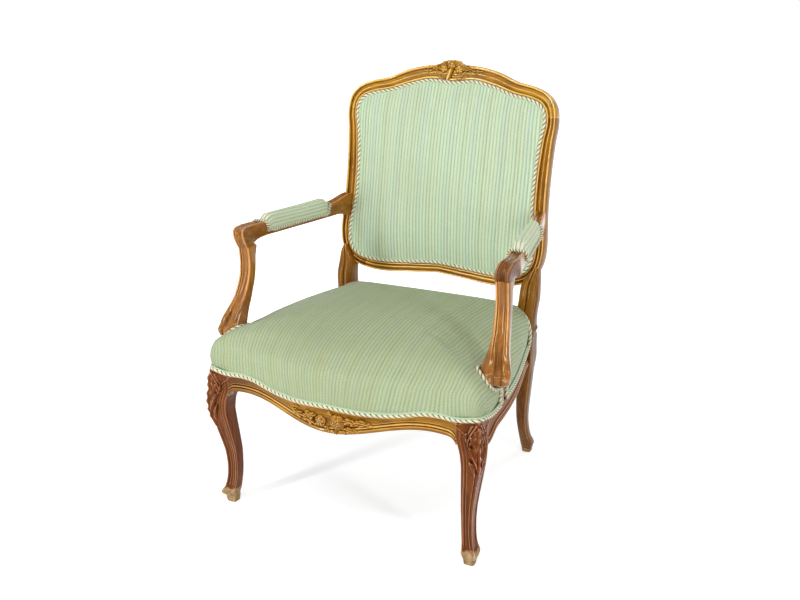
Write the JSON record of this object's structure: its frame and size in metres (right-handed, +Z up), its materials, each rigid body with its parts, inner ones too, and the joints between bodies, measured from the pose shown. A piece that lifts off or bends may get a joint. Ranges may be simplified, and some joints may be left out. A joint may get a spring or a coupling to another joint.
{
  "type": "upholstered open-arm chair",
  "caption": "Carved wooden fauteuil with cabriole legs, open padded arms, a sprung domed seat and a framed back in pale green striped cloth edged with cord.",
  "frame": {"origin": "on the floor, under the middle of the chair's outer box", "axes": "+Z up, -Y to the front where the sitter faces, +X to the sitter's left"},
  "size_m": [0.6962, 0.6796, 0.9643],
  "materials": {
    "frame_wood": "polished honey brown with darker recesses",
    "leg_wood": "polished reddish brown, worn pale at the feet",
    "raw_wood": "unpolished",
    "striped_cloth": "ribbed weave with pale green stripes and small dark dashes",
    "cord": "twisted cord, cream and dark green",
    "hessian": "coarse plain weave",
    "stuffing": "curled hair",
    "dust_cloth": "thin black cloth",
    "steel": "plain wire and screws"
  },
  "bodies": {
    "root": {"arm_left": "frame_wood", "arm_pad_left": "striped_cloth", "arm_pad_right": "striped_cloth", "arm_pad_trim_left": "cord", "arm_pad_trim_right": "cord", "arm_right": "frame_wood", "arm_support_left": "frame_wood", "arm_support_right": "frame_wood", "back_cover": "striped_cloth", "back_hessian": "hessian", "back_lower_rail": "frame_wood", "back_rear_cover": "striped_cloth", "back_strap_upright": "hessian", "back_stuffing": "stuffing", "back_trim": "cord", "block_screw_front_left": "steel", "block_screw_front_right": "steel", "block_screw_front_side_left": "steel", "block_screw_front_side_right": "steel", "block_screw_rear_left": "steel", "block_screw_rear_right": "steel", "block_screw_rear_side_left": "steel", "block_screw_rear_side_right": "steel", "crest_rail": "frame_wood", "dust_cover": "dust_cloth", "front_corner_block_left": "raw_wood", "front_corner_block_right": "raw_wood", "front_leg_left": "leg_wood", "front_leg_right": "leg_wood", "front_rail": "frame_wood", "rear_corner_block_left": "raw_wood", "rear_corner_block_right": "raw_wood", "rear_post_left": "frame_wood", "rear_post_right": "frame_wood", "rear_rail": "raw_wood", "seat_cover": "striped_cloth", "seat_hessian": "hessian", "seat_spring_1": "steel", "seat_spring_2": "steel", "seat_spring_3": "steel", "seat_spring_4": "steel", "seat_spring_5": "steel", "seat_spring_6": "steel", "seat_spring_7": "steel", "seat_spring_8": "steel", "seat_spring_9": "steel", "seat_strap_cross_1": "hessian", "seat_strap_cross_2": "hessian", "seat_strap_cross_3": "hessian", "seat_strap_long_1": "hessian", "seat_strap_long_2": "hessian", "seat_strap_long_3": "hessian", "seat_stuffing": "stuffing", "seat_trim_front": "cord", "seat_trim_left": "cord", "seat_trim_rear": "cord", "seat_trim_right": "cord", "side_rail_left": "frame_wood", "side_rail_right": "frame_wood"}
  },
  "joints": []
}
